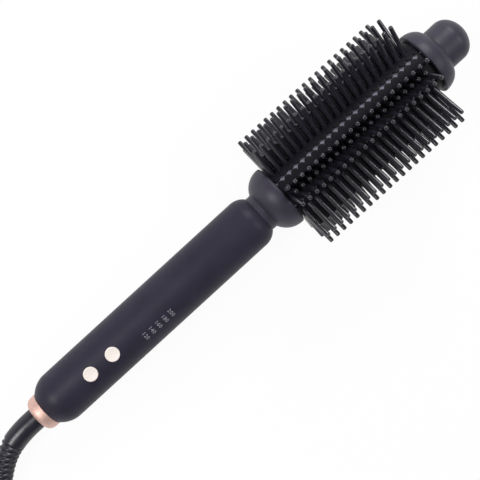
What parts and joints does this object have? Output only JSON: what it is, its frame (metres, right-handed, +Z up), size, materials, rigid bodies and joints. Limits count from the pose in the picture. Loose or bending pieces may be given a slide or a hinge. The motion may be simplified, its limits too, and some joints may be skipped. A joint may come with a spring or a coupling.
{
  "type": "heated styling brush",
  "caption": "Heated round styling brush: slim handle with round push buttons, bulb collar, scalloped bristle combs on a metal barrel, cool tip, and a swivel lead folded in a tied hank.",
  "frame": {"origin": "middle of the brush's outline on the surface it lies on, the lead left out", "axes": "+X along the brush from the lead to the cool tip, +Z up, on the side of the buttons"},
  "size_m": [0.6108, 0.1124, 0.1005],
  "materials": {
    "soft_touch": "soft-touch matt",
    "rose_gold": "polished, rose tinted",
    "button_rose": "satin pale rose",
    "black_nylon": "gloss moulded nylon",
    "barrel_metal": "satin anodised",
    "inner_plastic": "moulded",
    "clear_plastic": "polished",
    "contact_brass": "bright",
    "plated_steel": "bright",
    "board": "solder mask",
    "ceramic": "fired",
    "cord_rubber": "semi-matt",
    "wire_red": "insulation",
    "wire_white": "insulation"
  },
  "bodies": {
    "lead": {"swivel_rotor": "inner_plastic", "slip_ring_1": "contact_brass", "slip_ring_2": "contact_brass", "cord_boot": "cord_rubber", "mains_cord": "cord_rubber", "cord_hank": "cord_rubber", "cord_tail": "cord_rubber", "cord_tie": "black_nylon", "plug_body": "cord_rubber", "plug_pin_1": "plated_steel", "plug_pin_2": "plated_steel"},
    "brush": {"handle_top_shell": "soft_touch", "handle_bottom_shell": "soft_touch", "neck_collar": "soft_touch", "cool_tip": "soft_touch", "end_ring": "rose_gold", "bristle_comb_1": "black_nylon", "bristle_comb_2": "black_nylon", "bristle_comb_3": "black_nylon", "controller_chip": "black_nylon", "heater_triac": "black_nylon", "barrel_tube": "barrel_metal", "heater_block_upper": "barrel_metal", "heater_block_lower": "barrel_metal", "contact_block": "inner_plastic", "power_switch": "inner_plastic", "heat_switch": "inner_plastic", "supply_capacitor": "inner_plastic", "barrel_holder": "inner_plastic", "tip_holder": "inner_plastic", "indicator_lamp_1": "inner_plastic", "indicator_lamp_2": "inner_plastic", "indicator_lamp_3": "inner_plastic", "indicator_lamp_4": "inner_plastic", "indicator_lamp_5": "inner_plastic", "indicator_light_bar": "clear_plastic", "contact_spring_1": "contact_brass", "contact_spring_2": "contact_brass", "shell_screw_1": "plated_steel", "shell_screw_2": "plated_steel", "tip_screw": "plated_steel", "thermal_fuse": "plated_steel", "control_board": "board", "ceramic_heater": "ceramic", "temperature_sensor": "ceramic", "supply_wire_1": "wire_red", "supply_wire_2": "wire_red", "sensor_wire": "wire_red", "heater_wire_1": "wire_white", "heater_wire_2": "wire_white"},
    "power_key": {"power_button": "button_rose", "power_plunger": "black_nylon"},
    "heat_key": {"heat_button": "button_rose", "heat_plunger": "black_nylon"}
  },
  "joints": [
    {"name": "cord_swivel", "type": "hinge", "parent": "lead", "child": "brush", "pos_m": [-0.16068, 0, 0.01637], "axis": [0.9905, 0, 0.1375], "continuous": true},
    {"name": "power_press", "type": "slide", "parent": "brush", "child": "power_key", "axis": [0.1375, 0, -0.9905], "range_m": [0, 0.0005], "stiffness_N_per_m": 400},
    {"name": "heat_press", "type": "slide", "parent": "brush", "child": "heat_key", "axis": [0.1375, 0, -0.9905], "range_m": [0, 0.0005], "stiffness_N_per_m": 400}
  ]
}
